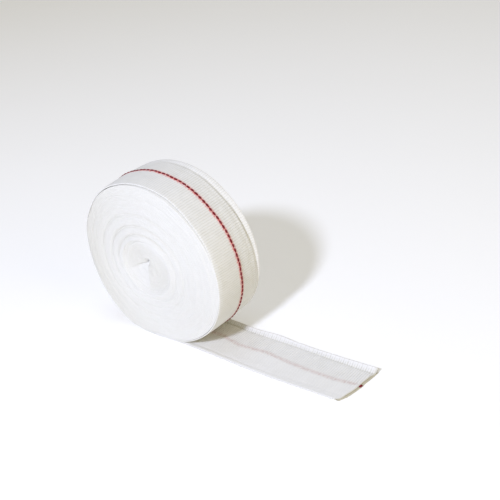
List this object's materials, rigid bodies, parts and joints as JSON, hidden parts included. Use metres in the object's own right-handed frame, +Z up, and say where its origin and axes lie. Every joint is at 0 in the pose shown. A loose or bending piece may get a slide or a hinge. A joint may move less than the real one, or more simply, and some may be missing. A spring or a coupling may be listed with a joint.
{
  "type": "tubular bandage roll",
  "caption": "Roll of flat-laid knitted tubular bandage standing on its rim, its free end lying out on the surface; cut lengths pull over a limb to hold dressings.",
  "frame": {"origin": "on the surface that the roll stands on, directly under the roll's axis, in the underside of the loose end", "axes": "+Z up, the roll's axis along Y with its front face towards -Y, +X along the loose end towards its cut"},
  "size_m": [0.1794, 0.0361, 0.1011],
  "materials": {
    "wound_cloth": "matte white knit of cotton and viscose with fine cross courses",
    "loose_cloth": "matte white knit lying relaxed, a faint red line showing through",
    "marker_yarn": "crimson size-marking yarn floated in a line of short stitches"
  },
  "bodies": {
    "root": {"wound_roll": "wound_cloth", "loose_end": "loose_cloth"}
  },
  "joints": []
}
